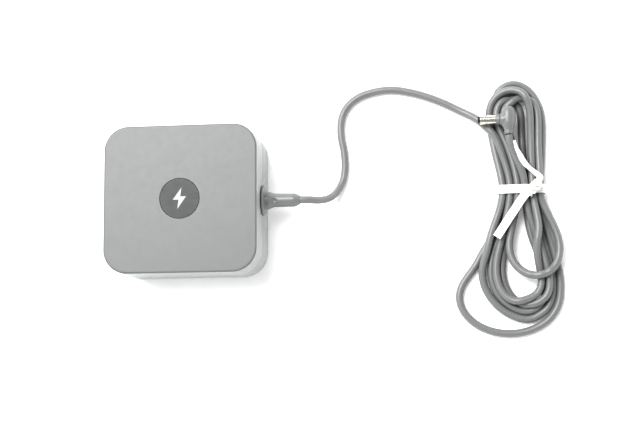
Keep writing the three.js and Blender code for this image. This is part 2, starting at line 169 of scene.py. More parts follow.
def rings_to_mesh(rings, closed=False):
    """Joins rings of the same number of points; the first and last are capped unless they join up."""
    count = len(rings[0])
    vertices = [p for ring in rings for p in ring]
    faces = []
    rows = len(rings) if closed else len(rings) - 1
    for row in range(rows):
        low, high = row * count, (row + 1) % len(rings) * count
        for i in range(count):
            j = (i + 1) % count
            faces.append((low + i, low + j, high + j, high + i))
    if not closed:
        for start in (0, (len(rings) - 1) * count):
            middle = np.mean(vertices[start:start + count], axis=0)
            vertices.append(middle)
            for i in range(count):
                faces.append((start + i, start + (i + 1) % count, len(vertices) - 1))
    return vertices, faces


def lathe(name, profile, at, axis="X", segments=72, closed=False, sharp=30):
    """A turned piece about an axis through at. The profile is (radius, place along the axis)."""
    rings = []
    for radius, along in profile:
        ring = []
        for i in range(segments):
            a = math.tau * i / segments
            across, height = max(radius, 1e-4) * math.cos(a), max(radius, 1e-4) * math.sin(a)
            point = {"X": (along, across, height), "Y": (height, along, across)}[axis]
            ring.append(tuple(c + d for c, d in zip(point, at)))
        rings.append(ring)
    vertices, faces = rings_to_mesh(rings, closed)
    return new_object(name, vertices, faces, sharp)


def rounded(profile, radius, steps=4):
    """The profile with each inner corner that has room replaced by an arc-like curve of this radius."""
    points = [np.array(p, float) for p in profile]
    out = [points[0]]
    for before, corner, after in zip(points, points[1:], points[2:]):
        first, second = before - corner, after - corner
        reach = min(radius, np.linalg.norm(first) * 0.45, np.linalg.norm(second) * 0.45)
        a = corner + first / max(np.linalg.norm(first), 1e-9) * reach
        b = corner + second / max(np.linalg.norm(second), 1e-9) * reach
        for i in range(steps + 1):
            t = i / steps
            out.append((1 - t) ** 2 * a + 2 * t * (1 - t) * corner + t ** 2 * b)
    out.append(points[-1])
    return [tuple(p) for p in out]


def round_ring(width, depth, radius, z, corner_steps=20, side_steps=6):
    """A rectangle with round corners at height z, always with the same number of points."""
    ring = []
    for quarter, (sx, sy) in enumerate([(1, 1), (-1, 1), (-1, -1), (1, -1)]):
        cx, cy = sx * (width / 2 - radius), sy * (depth / 2 - radius)
        for i in range(corner_steps + 1):
            a = (quarter + i / corner_steps) * math.pi / 2
            ring.append((cx + radius * math.cos(a), cy + radius * math.sin(a), z))
        following = [(-1, 1), (-1, -1), (1, -1), (1, 1)][quarter]
        nx, ny = following[0] * (width / 2 - radius), following[1] * (depth / 2 - radius)
        a = (quarter + 1) * math.pi / 2
        x0, y0 = cx + radius * math.cos(a), cy + radius * math.sin(a)
        x1, y1 = nx + radius * math.cos(a), ny + radius * math.sin(a)
        for i in range(1, side_steps):
            t = i / side_steps
            ring.append((x0 + (x1 - x0) * t, y0 + (y1 - y0) * t, z))
    return ring


def housing_ring(inset, z):
    return round_ring(WIDTH - 2 * inset, DEPTH - 2 * inset, max(CORNER - inset, 0.5), z)


def circle_like(ring, radius, z):
    """A circle with one point on the ray through each point of a ring."""
    out = []
    for x, y, _ in ring:
        r = math.hypot(x, y)
        out.append((x / r * radius, y / r * radius, z))
    return out


def edge_rings(inset, face_z, towards_face, steps=12):
    """The rounded edge from a wall to the face at face_z. towards_face is +1 for the top, -1 below. A
    narrow flat ring at each end keeps the wall and the face evenly lit."""
    rings = [housing_ring(inset, face_z - towards_face * (EDGE + HOLD))]
    for i in range(steps + 1):
        a = i / steps * math.pi / 2
        z = face_z - towards_face * EDGE * (1 - math.sin(a))
        rings.append(housing_ring(inset + EDGE * (1 - math.cos(a)), z))
    rings.append(housing_ring(inset + EDGE + HOLD, face_z))
    return rings


def cut_with(obj, *cutters):
    for cutter in cutters:
        modifier = obj.modifiers.new("cut", "BOOLEAN")
        modifier.operation = "DIFFERENCE"
        modifier.solver = "EXACT"
        modifier.object = cutter
    apply_modifiers(obj)
    for cutter in cutters:
        bpy.data.objects.remove(cutter)


def soften(obj, width, segments=2, angle=35):
    """Rounds every edge sharper than the angle by a narrow bevel."""
    bevel = obj.modifiers.new("edge", "BEVEL")
    bevel.width = width * MM
    bevel.segments = segments
    bevel.limit_method = "ANGLE"
    bevel.angle_limit = math.radians(angle)
    apply_modifiers(obj, 40)


def place(obj, nodes, finish):
    """Gives a piece its finish and its slot, hangs it under the root body, and hides the CAD nodes that it
    replaces.
    """
    obj.data.materials.clear()
    obj.data.materials.append(finish)
    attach(obj, "root")
    if nodes:
        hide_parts(*nodes)
    return obj


# ---- Materials -----------------------------------------------------------------------------------------


def material(name, colour, roughness, metallic=0.0, grain=0.0, grain_size=0.3, mottle=0.03, specular=0.5):
    """A surface with a fine moulded grain (a bump of this depth and size, in millimetres), slow colour
    mottling and a roughness that varies a little."""
    made = bpy.data.materials.new(name)
    made.use_nodes = True
    nodes, links = made.node_tree.nodes, made.node_tree.links
    shader = nodes["Principled BSDF"]
    shader.inputs["Metallic"].default_value = metallic
    shader.inputs["Specular IOR Level"].default_value = specular
    place_in = nodes.new("ShaderNodeTexCoord").outputs["Object"]

    def noise(scale, detail):
        node = nodes.new("ShaderNodeTexNoise")
        node.inputs["Scale"].default_value = scale
        node.inputs["Detail"].default_value = detail
        links.new(place_in, node.inputs["Vector"])
        return node.outputs["Fac"]

    ramp = nodes.new("ShaderNodeValToRGB")
    ramp.color_ramp.elements[0].position = 0.3
    ramp.color_ramp.elements[1].position = 0.7
    ramp.color_ramp.elements[0].color = (*[c * (1 - mottle) for c in colour], 1)
    ramp.color_ramp.elements[1].color = (*[min(1, c * (1 + mottle)) for c in colour], 1)
    links.new(noise(140, 4), ramp.inputs["Fac"])
    links.new(ramp.outputs["Color"], shader.inputs["Base Color"])
    spread = nodes.new("ShaderNodeMapRange")
    spread.inputs["To Min"].default_value = roughness - 0.06
    spread.inputs["To Max"].default_value = roughness + 0.06
    links.new(noise(420, 3), spread.inputs["Value"])
    links.new(spread.outputs["Result"], shader.inputs["Roughness"])
    if grain:
        bump = nodes.new("ShaderNodeBump")
        bump.inputs["Strength"].default_value = 1.0
        bump.inputs["Distance"].default_value = grain * MM
        links.new(noise(1 / (grain_size * MM), 2), bump.inputs["Height"])
        links.new(bump.outputs["Normal"], shader.inputs["Normal"])
    return made


SATIN = {"roughness": 0.4, "grain": 0.006, "grain_size": 0.22, "mottle": 0.01}
HOUSING = material("housing_plastic", (0.19, 0.197, 0.194), **SATIN)
# Painted light: the walls use a lighter copy of the same housing plastic, standing in for the light from the
# bright floor.
HOUSING_SIDE_PAINTED_LIGHT = material("housing_side_painted_light", (0.39, 0.397, 0.394), **SATIN)
EMBLEM = material("emblem_plastic", (0.055, 0.06, 0.058), 0.42, grain=0.003, grain_size=0.2)
EMBLEM_MARK = material("emblem_mark", (0.42, 0.43, 0.425), 0.4, grain=0.004, grain_size=0.2)
LABEL_FILM = material("label_film", (0.28, 0.29, 0.29), 0.55, grain=0.003, grain_size=0.15)
BLACK = material("black_plastic", (0.012, 0.012, 0.014), 0.42, grain=0.008, grain_size=0.2)
WHITE = material("white_plastic", (0.88, 0.88, 0.86), 0.38, grain=0.004, grain_size=0.3, mottle=0.01)
JACKET = material("cord_jacket", (0.235, 0.238, 0.238), 0.3, grain=0.002, grain_size=0.25, mottle=0.015)
NICKEL = material("nickel", (0.62, 0.60, 0.53), 0.24, metallic=1.0, grain=0.001, grain_size=0.1)

# ---- Floor and light -----------------------------------------------------------------------------------


def area_light(name, at, aim, size, power):
    data = bpy.data.lights.new(name, "AREA")
    data.shape = "RECTANGLE"
    data.size, data.size_y = size
    data.energy = power
    light = bpy.data.objects.new(name, data)
    bpy.context.scene.collection.objects.link(light)
    light.location = at
    light.rotation_mode = "QUATERNION"
    light.rotation_quaternion = (Vector(aim) - Vector(at)).to_track_quat("-Z", "Y")


def studio():
    half = FLOOR_HALF / MM
    vertices = [(x * half, y * half, 0) for x, y in ((-1, -1), (1, -1), (1, 1), (-1, 1))]
    floor = new_object("floor", vertices, [(0, 1, 2, 3)])
    paper = material("floor_paper", (0.95, 0.95, 0.95), 0.8, mottle=0.0, specular=0.2)
    glow = paper.node_tree.nodes["Principled BSDF"]
    glow.inputs["Emission Color"].default_value = (1, 1, 1, 1)
    glow.inputs["Emission Strength"].default_value = FLOOR_GLOW
    floor.data.materials.append(paper)
    bpy.context.scene.world = studio_world()
    area_light("key", KEY_AT, KEY_AIM, KEY_SIZE, KEY_POWER)
    view = bpy.context.scene.view_settings
    view.view_transform = "Standard"
    view.gamma = VIEW_GAMMA


def studio_world():
    """A white band round the horizon that fades to a dimmer sky overhead."""
    world = bpy.data.worlds.new("studio")
    world.use_nodes = True
    nodes, links = world.node_tree.nodes, world.node_tree.links
    place_in = nodes.new("ShaderNodeTexCoord").outputs["Generated"]
    parts = nodes.new("ShaderNodeSeparateXYZ")
    links.new(place_in, parts.inputs["Vector"])
    fade = nodes.new("ShaderNodeMapRange")
    fade.interpolation_type = "SMOOTHSTEP"
    fade.inputs["From Min"].default_value = 0.1
    fade.inputs["From Max"].default_value = 0.45
    fade.inputs["To Min"].default_value = HORIZON
    fade.inputs["To Max"].default_value = SKY
    links.new(parts.outputs["Z"], fade.inputs["Value"])
    background = nodes["Background"]
    background.inputs["Color"].default_value = (1, 1, 1, 1)
    links.new(fade.outputs["Result"], background.inputs["Strength"])
    return world


studio()

# ---- The lead and its hank -----------------------------------------------------------------------------
# Each fold of the hank is a bow between two shoulders, left and right (x, y), that reaches out to the crown
# (y). Its legs run back to two slots at the waist, enter first. A slot is (column, layer). rest is the
# height of the bow in cord diameters above the floor before it settles, and hug is how long the legs stay
# in the bundle before they part from it.
WAIST_X, WAIST_STEP = 134.5, 3.2
FOOT_FOLDS = [
    {"slots": ((1, 1), (4, 1)), "left": (131.0, -31), "right": (150.0, -34), "crown": -44.9, "rest": 1.2},
    {"slots": ((0, 1), (4, 0)), "left": (125.0, -31), "right": (154.6, -34), "crown": -49.6, "rest": 0.4},
    {"slots": ((0, 0), (5, 0)), "left": (115.1, -41), "right": (157.5, -41), "crown": -57.4, "rest": 0,
     "hug": 1.8},
    {"slots": ((1, 0), (3, 0)), "left": (128.8, -32), "right": (152.4, -37), "crown": -47.6, "rest": 0},
    {"slots": ((2, 1), (5, 1)), "left": (136.7, -21), "right": (157.7, -22), "crown": -33.4, "rest": 2.2},
    {"slots": ((2, 0), (3, 1)), "left": (133.6, -31), "right": (152.6, -37), "crown": -46.0, "rest": 1},
]
HEAD_FOLDS = [
    {"left": (130.8, 38), "right": (146.8, 37), "crown": 46.0, "rest": 1.6},
    {"left": (134.2, 38.5), "right": (149.0, 34), "crown": 45.4, "rest": 0},
    {"left": (133.8, 41), "right": (151.8, 33), "crown": 49.2, "rest": 0},
    {"left": (133.0, 38.5), "right": (142.9, 37.5), "crown": 42.0, "rest": 0},
    {"left": (135.0, 38), "right": (149.6, 36), "crown": 43.0, "rest": 0.4},
]
# Where the lead climbs over the hank's outer strand to its slot.
CROSSING = [(129.6, 29.8, 6.6), (132.8, 25.6, 8.0), (135.6, 20, 7.6), (137.2, 13, 6.4)]
TIE_UNDER = 0.8
STEP = 2.0
BEND_MIN = 7.0
# How the cord settles: the rounds, how far it sinks in each one at first and at the end, how strongly it
# is drawn back to its place in plan, and how much of an overlap is undone at once.
ROUNDS = 600
SINK, SINK_LAST = 0.06, 0.02
KEEP_PLACE = 0.03
PUSH = 1.2


def catmull(points, steps):
    """A smooth line through the points."""
    p = np.asarray(points, float)
    p = np.vstack([2 * p[0] - p[1], p, 2 * p[-1] - p[-2]])
    t = np.linspace(0, 1, steps, endpoint=False)[:, None]
    out = []
    for a, b, c, d in zip(p, p[1:], p[2:], p[3:]):
        out.append(0.5 * (2 * b + (c - a) * t + (2 * a - 5 * b + 4 * c - d) * t ** 2
                          + (3 * b - a - 3 * c + d) * t ** 3))
    return np.vstack([*out, p[-2]])


def hermite(start, end, leave, arrive, steps):
    t = np.linspace(0, 1, steps, endpoint=False)[:, None]
    return ((2 * t ** 3 - 3 * t ** 2 + 1) * start + (t ** 3 - 2 * t ** 2 + t) * leave
            + (3 * t ** 2 - 2 * t ** 3) * end + (t ** 3 - t ** 2) * arrive)


def slot_point(slot):
    column, layer = slot
    return np.array([WAIST_X + WAIST_STEP * column, TIE_Y, TIE_UNDER + CORD_R * (1 + 2 * layer) + 0.05])


def bow(start, end, fold, along):
    """From a waist slot round one fold to another slot. along is -1 for the foot, +1 for the head."""
    shoulders = (fold["left"], fold["right"])
    near, far = shoulders if start[0] < end[0] else shoulders[::-1]
    z = CORD_R * (1 + 2 * fold["rest"]) + 0.1
    hug = fold.get("hug", 1.0)
    turn = np.linspace(0, math.pi, 28, endpoint=False)
    share = (1 - np.cos(turn)) / 2
    base = near[1] + (far[1] - near[1]) * share
    out = fold["crown"] - (near[1] + far[1]) / 2
    round_it = np.stack([near[0] + (far[0] - near[0]) * share, base + out * np.sin(turn),
                         np.full(len(turn), z)], 1)
    pull = [np.array([0, along * abs(y - TIE_Y), 0]) for y in (near[1], far[1])]
    last = np.array([*far, z])
    there = hermite(start, round_it[0], pull[0] * hug, pull[0] / hug, 24)
    back = hermite(last, end, -pull[1] / hug, -pull[1] * hug, 24)
    return np.vstack([there, round_it, back])


def even_steps(points, step):
    run = np.r_[0, np.cumsum(np.linalg.norm(np.diff(points, axis=0), axis=1))]
    places = np.linspace(0, run[-1], int(round(run[-1] / step)) + 1)
    return np.stack([np.interp(places, run, points[:, i]) for i in range(3)], 1)


def laid_path():
    """The whole cord before it settles, and how many of its first points are the fixed lead."""
    lead = catmull(LEAD, 10)
    here = slot_point(FOOT_FOLDS[0]["slots"][0])
    parts = [lead, catmull([lead[-1], *CROSSING, here], 8)[1:-1]]
    for number, fold in enumerate(FOOT_FOLDS):
        enter, leave = (slot_point(s) for s in fold["slots"])
        if number:
            parts.append(bow(here, enter, HEAD_FOLDS[number - 1], 1))
        parts.append(bow(enter, leave, fold, -1))
        here = leave
    plug = np.array([PLUG_AT[0], PLUG_CORD_Y - 0.2, PLUG_AT[2]])
    parts.append(hermite(here, plug, np.array([0, 20.0, 0]), np.array([0, 14.0, 0]), 16))
    parts.append(plug[None])
    lead_length = np.linalg.norm(np.diff(lead, axis=0), axis=1).sum()
    return even_steps(np.vstack(parts), STEP), int(lead_length / STEP) - 2


def plug_ceiling(points):
    """The highest that each point may lie so that the cord stays under the plug's grip and barrel."""
    x, y, z = PLUG_AT
    over_x, over_y = np.abs(points[:, 0] - x), points[:, 1] - y
    under_grip = (over_x < GRIP_R + 1) & (over_y > -GRIP_DOWN) & (over_y < GRIP_UP + 1)
    under_barrel = (np.abs(points[:, 1] - PLUG_BARREL_Y) < BARREL_R + 1) & (points[:, 0] < x)
    ceiling = np.full(len(points), np.inf)
    ceiling[under_barrel] = z - BARREL_R - CORD_R
    ceiling[under_grip] = z - GRIP_R - CORD_R
    return ceiling


def even_bends(points, free):
    """Evens out the bends, less in plan than in height, and opens any that is tighter than BEND_MIN."""
    middle = (points[:-2] + points[2:]) / 2
    bend = np.zeros_like(points)
    bend[1:-1] = middle - points[1:-1]
    change = np.zeros_like(points)
    change[1:-1] = bend[1:-1] - (bend[:-2] + bend[2:]) / 2
    points[:, :2] += 0.4 * change[:, :2] * free[:, None]
    points[:, 2] += 0.8 * bend[:, 2] * free
    bend[1:-1] = (points[:-2] + points[2:]) / 2 - points[1:-1]
    depth = np.linalg.norm(bend, axis=1, keepdims=True)
    over = np.maximum(depth - STEP ** 2 / (2 * BEND_MIN), 0) / np.maximum(depth, 1e-6) * bend
    points += 0.6 * over * free[:, None]
    points[:-1] -= 0.3 * over[1:] * free[:-1, None]
    points[1:] -= 0.3 * over[:-1] * free[1:, None]


def keep_length(points, free, length):
    """Brings each step of the cord back to its length, first every even step and then every odd one."""
    for first in (0, 1):
        i = np.arange(first, len(points) - 1, 2)
        span = points[i + 1] - points[i]
        now = np.linalg.norm(span, axis=1, keepdims=True)
        share = np.maximum(free[i] + free[i + 1], 1)
        move = (now - length) / now * span
        points[i] += move * (free[i] / share)[:, None]
        points[i + 1] -= move * (free[i + 1] / share)[:, None]


def push_apart(points, free, one, two):
    """Moves pairs of points that are closer than the cord is thick away from each other."""
    span = points[two] - points[one]
    now = np.linalg.norm(span, axis=1)
    near = now < 2 * CORD_R
    push = span[near] / now[near, None] * (2 * CORD_R - now[near, None]) * 0.5
    total, touches = np.zeros_like(points), np.zeros(len(points))
    for ends, sign in ((one[near], -1), (two[near], 1)):
        np.add.at(total, ends, sign * push)
        np.add.at(touches, ends, 1)
    points += total / np.maximum(touches, 1)[:, None] * free[:, None] * PUSH


def hold_in_place(points, free, fixed):
    """Keeps the cord above the floor, under the plug and inside the tie."""
    low = CORD_R + 0.05
    within = np.clip(points[:, 2], low, np.maximum(plug_ceiling(points), low))
    points[:, 2] = np.where(free > 0, within, points[:, 2])
    tied = (np.arange(len(points)) > fixed) & (np.abs(points[:, 1] - TIE_Y) < TIE_WIDTH)
    points[tied, 2] = np.clip(points[tied, 2], TIE_UNDER + CORD_R, TIE_UNDER + 5 * CORD_R)
    points[tied, 0] = np.clip(points[tied, 0], WAIST_X, WAIST_X + 5 * WAIST_STEP)


def settle(points, fixed):
    """Lets the cord sink under its weight and lie on itself, while each point stays near its place in
    plan. The fixed lead and the end in the plug don't move."""
    laid = points.copy()
    free = np.ones(len(points))
    free[:fixed] = 0
    free[-3:] = 0
    length = np.linalg.norm(np.diff(points, axis=0), axis=1).mean()
    neighbours = int(math.ceil(6 * CORD_R / length))
    for number in range(ROUNDS):
        if number % 8 == 0:
            apart = ((points[:, None] - points[None]) ** 2).sum(2)
            one, two = np.where(np.triu(apart < (2 * CORD_R + 2) ** 2, neighbours))
        points[:, 2] -= (SINK if number < ROUNDS * 0.75 else SINK_LAST) * free
        points[:, :2] += (laid[:, :2] - points[:, :2]) * KEEP_PLACE * free[:, None]
        for _ in range(2):
            even_bends(points, free)
        keep_length(points, free, length)
        for _ in range(3):
            push_apart(points, free, one, two)
        hold_in_place(points, free, fixed)
    return points


def make_cord():
    points, fixed = laid_path()
    points = settle(points, fixed)
    points = np.vstack([points[0] - (1.6, 0, 0), points])
    fine = even_steps(catmull(points, 4), 1.0)
    data = bpy.data.curves.new("dc_cord", "CURVE")
    data.dimensions = "3D"
    data.bevel_depth = CORD_R * MM
    data.bevel_resolution = 6
    data.use_fill_caps = True
    spline = data.splines.new("POLY")
    spline.points.add(len(fine) - 1)
    for place_on, p in zip(spline.points, fine):
        place_on.co = (*(p * MM), 1)
    spline.use_smooth = True
    cord = bpy.data.objects.new("dc_cord", data)
    bpy.context.scene.collection.objects.link(cord)
    place(cord, ["dc_lead", "dc_lead_hank"], JACKET)
    return cord, fine


cord, cord_points = make_cord()

# ---- Housing -------------------------------------------------------------------------------------------


def wall_cutters():
    """The inlet's and the strain relief's openings through the walls."""
    clear = 2 * GAP
    flat = round_ring(INLET_SIZE[0] + clear, INLET_SIZE[1] + clear, 1.5, 0, 6, 2)
    rings = [[(x, u, v + SEAM_Z) for u, v, _ in flat] for x in (-WIDTH / 2 - 2, -WIDTH / 2 + 4)]
    inlet = new_object("inlet_cutter", *rings_to_mesh(rings))
    bore = RELIEF_R + GAP
    relief = lathe("relief_cutter", [(0, -4), (bore, -4), (bore, 2), (0, 2)],
                   (WIDTH / 2, 0, SEAM_Z), segments=48)
    return inlet, relief


def paint_light_on_sides(shell):
    """Gives every upright face a lighter copy of the housing plastic: painted light for the bright floor that
    lights the walls.
    """
    shell.data.materials.append(HOUSING_SIDE_PAINTED_LIGHT)
    for face in shell.data.polygons:
        if abs(face.normal.z) < 0.5:
            face.material_index = 1


def bottom_housing():
    low, top = SEAM_Z - SEAM_GAP / 2, SEAM_Z + LIP
    label = (LABEL[0] + 2 * GAP, LABEL[1] + 2 * GAP, LABEL[2] + GAP)
    rings = [round_ring(*label, 0.7), round_ring(*label, 0.0)]
    rings += list(reversed(edge_rings(DRAFT, 0.0, -1)))
    rings += [housing_ring(0, low), housing_ring(LAP, low), housing_ring(LAP, top),
              housing_ring(WALL, top), housing_ring(WALL + DRAFT, WALL)]
    shell = new_object("bottom_shell", *rings_to_mesh(rings))
    cut_with(shell, *wall_cutters())
    soften(shell, 0.12)
    place(shell, ["bottom_housing"], HOUSING)
    paint_light_on_sides(shell)


def top_cover():
    low = SEAM_Z + SEAM_GAP / 2
    inner = SEAM_Z + LIP + GAP
    recess = circle_like(housing_ring(DRAFT + EDGE, HEIGHT), EMBLEM_R + EMBLEM_CLEAR, HEIGHT)
    flat = circle_like(recess, EMBLEM_R + EMBLEM_CLEAR + HOLD, HEIGHT)
    sunk = [(x, y, HEIGHT - EMBLEM_POCKET) for x, y, _ in recess]
    rings = [housing_ring(WALL + DRAFT, HEIGHT - WALL), housing_ring(WALL, inner),
             housing_ring(LAP - GAP, inner), housing_ring(LAP - GAP, low), housing_ring(0, low)]
    rings += edge_rings(DRAFT, HEIGHT, 1)
    rings += [flat, recess, sunk]
    shell = new_object("top_shell", *rings_to_mesh(rings))
    cut_with(shell, *wall_cutters())
    soften(shell, 0.1)
    place(shell, ["top_cover"], HOUSING)
    paint_light_on_sides(shell)


def emblem():
    """A plain round inlay with a bolt, the common sign for electric power."""
    profile = [(0, 0), (EMBLEM_R - 0.1, 0), (EMBLEM_R, 0.1), (EMBLEM_R, 0.6)]
    disc = lathe("emblem_disc_fine", [(r, -z) for r, z in profile] + [(0, -0.6)], (0, 0, 0), "Y", 128)
    disc.data.transform(Matrix.Translation((0, 0, HEIGHT * MM)) @ Matrix.Rotation(math.pi / 2, 4, "X"))
    place(disc, ["emblem_disc"], EMBLEM)
    rings = [[(x, y, HEIGHT - depth) for x, y in BOLT] for depth in (0.3, -0.02)]
    mark = new_object("emblem_bolt", *rings_to_mesh(rings))
    place(mark, [], EMBLEM_MARK)


def rating_label():
    width, depth, radius = LABEL
    rings = [round_ring(width, depth, radius, z) for z in (0.4, 0.08)]
    film = new_object("rating_label_fine", *rings_to_mesh(rings))
    soften(film, 0.05)
    place(film, ["rating_label"], LABEL_FILM)


# ---- Inlet ---------------------------------------------------------------------------------------------


def mouth_ring(grow, steps=160):
    """The socket's outline: two round ends, with a notch in the middle above and below, as points by
    angle, grown outwards."""
    radius = MOUTH_R + grow
    ring = []
    for i in range(steps):
        a = math.tau * i / steps
        c, s = abs(math.cos(a)), abs(math.sin(a))
        if radius * c > MOUTH_LOBE * s:
            reach = MOUTH_LOBE * c + math.sqrt(radius ** 2 - (MOUTH_LOBE * s) ** 2)
        else:
            reach = radius / s
        if s > c:
            reach = min(reach, (radius - MOUTH_NOTCH) / (s - c))
        ring.append((reach * math.cos(a), reach * math.sin(a)))
    return ring


def outer_ring(width, height, radius, steps=160):
    """A rectangle with round corners as points by angle."""
    ring = []
    for i in range(steps):
        a = math.tau * i / steps
        c, s = abs(math.cos(a)), abs(math.sin(a))
        reach = min(width / 2 / max(c, 1e-6), height / 2 / max(s, 1e-6))
        x, y = reach * c, reach * s
        cx, cy = width / 2 - radius, height / 2 - radius
        if x > cx and y > cy:
            b = cx * c + cy * s
            reach = b + math.sqrt(b * b - cx * cx - cy * cy + radius * radius)
        ring.append((reach * math.cos(a), reach * math.sin(a)))
    return ring


def mains_inlet():
    """The two-pin socket: its block with a flange behind the wall, and the pins."""
    x0 = -WIDTH / 2
    width, height = INLET_SIZE

    def at(ring, depth):
        return [(x0 + depth, u, v + SEAM_Z) for u, v in ring]

    flange = outer_ring(width + INLET_FLANGE, height + INLET_FLANGE, 1.5)
    rings = [
        at(outer_ring(width, height, 1.2), 16), at(outer_ring(width, height, 1.2), 4.15),
        at(flange, 4.15), at(flange, 2.65), at(outer_ring(width, height, 1.2), 2.65),
        at(outer_ring(width, height, 1.2), 0.25), at(outer_ring(width - 0.5, height - 0.5, 1.0), 0),
        at(mouth_ring(0.45), 0), at(mouth_ring(0), 0.5), at(mouth_ring(-0.1), 12.5),
    ]
    body = new_object("inlet_body", *rings_to_mesh(rings), sharp=25)
    place(body, ["ac_inlet_housing"], BLACK)
    for name, side in (("inlet_pin_line", 1), ("inlet_pin_neutral", -1)):
        outline = [(0, PIN_TIP), (0.75, PIN_TIP), (PIN_R, PIN_TIP + 0.8), (PIN_R, PIN_END), (0, PIN_END)]
        pin = lathe(name + "_fine", rounded(outline, 0.4), (x0, side * PIN_Y, SEAM_Z), segments=40)
        place(pin, [name], NICKEL)


# ---- Strain relief -------------------------------------------------------------------------------------


def dense(profile, step):
    """The profile with points added so that none are further apart than the step."""
    out = [profile[0]]
    for a, b in zip(profile, profile[1:]):
        count = max(1, int(math.dist(a, b) / step))
        for i in range(1, count + 1):
            out.append(tuple(p + (q - p) * i / count for p, q in zip(a, b)))
    return out


def press_dimple(obj, centre, radius, depth, inward):
    """Pushes a round hollow into a surface, in millimetres."""
    middle, push = Vector(centre) * MM, Vector(inward)
    for vertex in obj.data.vertices:
        away = (vertex.co - middle).length / (radius * MM)
        if away < 1:
            vertex.co += push * (depth * MM * (1 - away * away) ** 2)


def strain_relief():
    """The collar in the wall, the disc outside it, and the stem that the cord leaves through."""
    outline = [
        (0, -4.6), (5.5, -4.6), (5.5, -3.2), (RELIEF_R, -3.2), (RELIEF_R, 0.1), (6.5, 0.1), (6.5, 0.75),
        (5.9, 1.15), (3.9, 1.2), (3.8, 2.8), (3.0, 4.6), (2.9, 5.4), (2.9, 13.6), (2.7, 14.4), (2.0, 15.8),
        (1.9, 16), (0, 16),
    ]
    relief = lathe("strain_relief_fine", dense(rounded(outline, 0.5), 0.3),
                   (WIDTH / 2, 0, SEAM_Z), segments=96)
    press_dimple(relief, (WIDTH / 2 + 5.4, -0.3, SEAM_Z + 2.9), 1.5, 0.55, (0, 0, -1))
    return place(relief, ["dc_strain_relief"], JACKET)


# ---- Tie -----------------------------------------------------------------------------------------------
TIE_T = 0.35
TIE_RIB = 0.32
TWIST_R = 2.3
TWIST_FROM, TWIST_TO = (144.9, 1.0), (150.4, 5.6)
# The tails from the twist to their free ends: x, y, the rise above the band, and the direction across.
TAIL_UP = [
    (149.6, 5.2, 2.4, 0.6, -0.2, 0.7), (150.4, 6.6, 2.4, 0.5, 0.3, 0.8), (149.9, 7.9, 2.3, 0.4, 0.3, 0.85),
    (148.1, 9.5, 2.2, 0.3, 0.3, 0.9), (146.0, 11.4, 2.0, 0.25, 0.2, 0.95),
    (143.9, 13.8, 1.8, 0.45, 0.25, 0.85), (142.0, 16.6, 1.7, 0.6, 0.3, 0.7),
    (140.3, 20.0, 1.8, 0.55, 0.2, 0.8), (139.3, 23.2, 2.1, 0.5, 0.1, 0.85),
]
TAIL_DOWN = [
    (149.4, 5.6, 2.2, 0.7, -0.6, 0.2), (146.9, 3.2, 1.5, 0.75, -0.65, 0.1), (143.4, 0.0, 0.9, 0.8, -0.6, 0.0),
    (139.0, -6.2, 0.5, 0.8, -0.6, 0.0), (134.8, -12.4, 0.3, 0.8, -0.6, 0.0),
    (131.6, -17.2, 0.5, 0.8, -0.6, 0.05),
]


def ribbon(name, stations, width, thickness, rib, closed=False):
    """A flat strip with a wire rib along its middle. A station is (point, direction across the strip)."""
    half, t = width / 2, thickness / 2
    section = [(-half, -t), (-half, t), (-rib, t), (-rib * 0.6, rib), (rib * 0.6, rib), (rib, t), (half, t),
               (half, -t), (rib, -t), (rib * 0.6, -rib), (-rib * 0.6, -rib), (-rib, -t)]
    points = np.array([p for p, _ in stations], float)
    across = np.array([a for _, a in stations], float)
    ahead = np.gradient(points, axis=0)
    if closed:
        ahead = np.roll(points, -1, 0) - np.roll(points, 1, 0)
    rings = []
    for p, a, d in zip(points, across, ahead):
        d = d / np.linalg.norm(d)
        a = a - d * (a @ d)
        a = a / np.linalg.norm(a)
        out = np.cross(d, a)
        rings.append([p + a * u + out * v for u, v in section])
    return new_object(name, *rings_to_mesh(rings, closed), sharp=35)


def smooth_stations(controls, steps):
    """Stations along a smooth line through controls, each (x, y, z, across x, y, z)."""
    line = catmull(controls, steps)
    return [(row[:3], row[3:]) for row in line]


def wrap_round(centres, radius, count):
    """The even outline of a band pulled tight round circles of one radius."""
    turn = np.linspace(0, math.tau, 32, endpoint=False)
    rim = (centres[:, None] + radius * np.stack([np.cos(turn), np.sin(turn)], 1)).reshape(-1, 2)
    rim = rim[np.lexsort((rim[:, 1], rim[:, 0]))]
    hull = []
    for order in (rim, rim[::-1]):
        side = []
        for p in order:
            while len(side) > 1 and np.cross(side[-1] - side[-2], p - side[-1]) <= 0:
                side.pop()
            side.append(p)
        hull += side[:-1]
    hull = np.array([*hull, hull[0]])
    run = np.r_[0, np.cumsum(np.linalg.norm(np.diff(hull, axis=0), axis=1))]
    places = np.linspace(0, run[-1], count, endpoint=False)
    return np.stack([np.interp(places, run, hull[:, i]) for i in range(2)], 1)


def twist_stations(height, phase):
    """Stations of one of the two strips that are wound about each other where the tie is closed."""
    start, end = np.array([*TWIST_FROM, height]), np.array([*TWIST_TO, height + 0.3])
    ahead = (end - start) / np.linalg.norm(end - start)
    level = np.cross([0, 0, 1], ahead)
    upright = np.cross(ahead, level)
    stations = []
    for share in np.linspace(0, 1, 25):
        a = phase + share * math.tau * 0.8
        stations.append((start + (end - start) * share, math.cos(a) * level + math.sin(a) * upright))
    return stations


